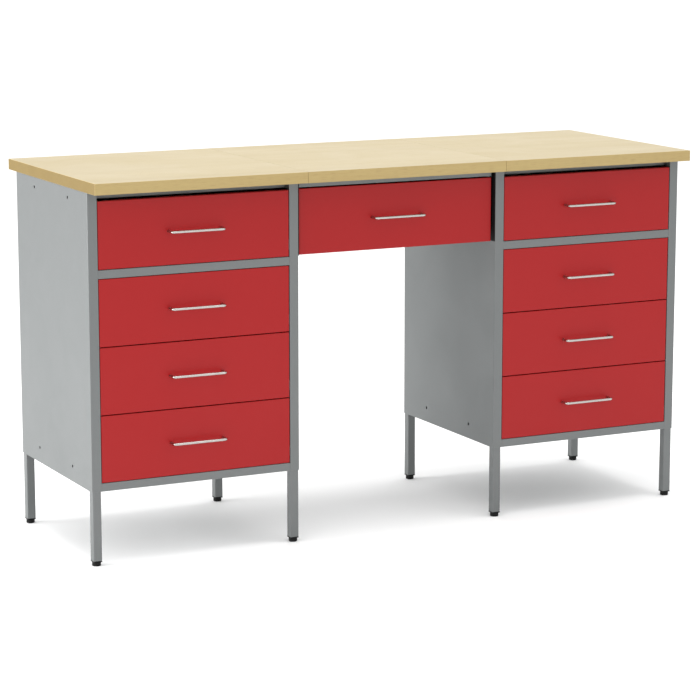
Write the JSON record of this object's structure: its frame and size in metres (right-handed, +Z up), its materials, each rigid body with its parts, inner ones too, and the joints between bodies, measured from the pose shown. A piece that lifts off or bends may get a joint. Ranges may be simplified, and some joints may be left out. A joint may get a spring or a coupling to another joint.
{
  "type": "workbench with drawers",
  "caption": "Steel workbench with a wood-finish top on drawer pedestals, a drawer over the kneehole, bow handles, square legs and levelling feet; every drawer slides out.",
  "frame": {"origin": "on the floor, under the middle of the worktop", "axes": "+X along the bench towards its right end, +Y towards its back, +Z up; the drawers open along -Y"},
  "size_m": [1.5, 0.55, 0.847],
  "materials": {
    "maple_laminate": "matt light maple laminate with fine grain along the bench",
    "grey_powder_coat": "satin light grey powder coat",
    "red_powder_coat": "satin red powder coat",
    "galvanised_steel": "zinc-plated runner steel",
    "bright_steel": "satin nickel-plated rod",
    "black_plastic": "moulded black plastic"
  },
  "bodies": {
    "frame": {"worktop_left_board": "maple_laminate", "worktop_middle_board": "maple_laminate", "worktop_right_board": "maple_laminate", "left_outer_side_panel": "grey_powder_coat", "left_outer_leg_frame": "grey_powder_coat", "left_front_outer_foot": "black_plastic", "left_back_outer_foot": "black_plastic", "left_inner_side_panel": "grey_powder_coat", "left_inner_leg_frame": "grey_powder_coat", "left_front_inner_foot": "black_plastic", "left_back_inner_foot": "black_plastic", "left_bottom_pan": "grey_powder_coat", "left_back_panel": "grey_powder_coat", "left_middle_rail": "grey_powder_coat", "left_top_rail": "grey_powder_coat", "right_outer_side_panel": "grey_powder_coat", "right_outer_leg_frame": "grey_powder_coat", "right_front_outer_foot": "black_plastic", "right_back_outer_foot": "black_plastic", "right_inner_side_panel": "grey_powder_coat", "right_inner_leg_frame": "grey_powder_coat", "right_front_inner_foot": "black_plastic", "right_back_inner_foot": "black_plastic", "right_bottom_pan": "grey_powder_coat", "right_back_panel": "grey_powder_coat", "right_middle_rail": "grey_powder_coat", "right_top_rail": "grey_powder_coat", "centre_left_runner": "galvanised_steel", "centre_right_runner": "galvanised_steel", "centre_front_rail": "grey_powder_coat", "centre_back_rail": "grey_powder_coat"},
    "left_drawer_1": {"left_drawer_1_box": "grey_powder_coat", "left_drawer_1_front": "red_powder_coat", "left_drawer_1_handle": "bright_steel"},
    "left_drawer_2": {"left_drawer_2_box": "grey_powder_coat", "left_drawer_2_front": "red_powder_coat", "left_drawer_2_handle": "bright_steel"},
    "left_drawer_3": {"left_drawer_3_box": "grey_powder_coat", "left_drawer_3_front": "red_powder_coat", "left_drawer_3_handle": "bright_steel"},
    "left_drawer_4": {"left_drawer_4_box": "grey_powder_coat", "left_drawer_4_front": "red_powder_coat", "left_drawer_4_handle": "bright_steel"},
    "right_drawer_1": {"right_drawer_1_box": "grey_powder_coat", "right_drawer_1_front": "red_powder_coat", "right_drawer_1_handle": "bright_steel"},
    "right_drawer_2": {"right_drawer_2_box": "grey_powder_coat", "right_drawer_2_front": "red_powder_coat", "right_drawer_2_handle": "bright_steel"},
    "right_drawer_3": {"right_drawer_3_box": "grey_powder_coat", "right_drawer_3_front": "red_powder_coat", "right_drawer_3_handle": "bright_steel"},
    "right_drawer_4": {"right_drawer_4_box": "grey_powder_coat", "right_drawer_4_front": "red_powder_coat", "right_drawer_4_handle": "bright_steel"},
    "centre_drawer": {"centre_drawer_box": "grey_powder_coat", "centre_drawer_front": "red_powder_coat", "centre_drawer_handle": "bright_steel"}
  },
  "joints": [
    {"name": "left_drawer_1_slide", "type": "slide", "parent": "frame", "child": "left_drawer_1", "axis": [0, -1, 0], "range_m": [0, 0.3]},
    {"name": "left_drawer_2_slide", "type": "slide", "parent": "frame", "child": "left_drawer_2", "axis": [0, -1, 0], "range_m": [0, 0.3]},
    {"name": "left_drawer_3_slide", "type": "slide", "parent": "frame", "child": "left_drawer_3", "axis": [0, -1, 0], "range_m": [0, 0.3]},
    {"name": "left_drawer_4_slide", "type": "slide", "parent": "frame", "child": "left_drawer_4", "axis": [0, -1, 0], "range_m": [0, 0.3]},
    {"name": "right_drawer_1_slide", "type": "slide", "parent": "frame", "child": "right_drawer_1", "axis": [0, -1, 0], "range_m": [0, 0.3]},
    {"name": "right_drawer_2_slide", "type": "slide", "parent": "frame", "child": "right_drawer_2", "axis": [0, -1, 0], "range_m": [0, 0.3]},
    {"name": "right_drawer_3_slide", "type": "slide", "parent": "frame", "child": "right_drawer_3", "axis": [0, -1, 0], "range_m": [0, 0.3]},
    {"name": "right_drawer_4_slide", "type": "slide", "parent": "frame", "child": "right_drawer_4", "axis": [0, -1, 0], "range_m": [0, 0.3]},
    {"name": "centre_drawer_slide", "type": "slide", "parent": "frame", "child": "centre_drawer", "axis": [0, -1, 0], "range_m": [0, 0.3]}
  ]
}
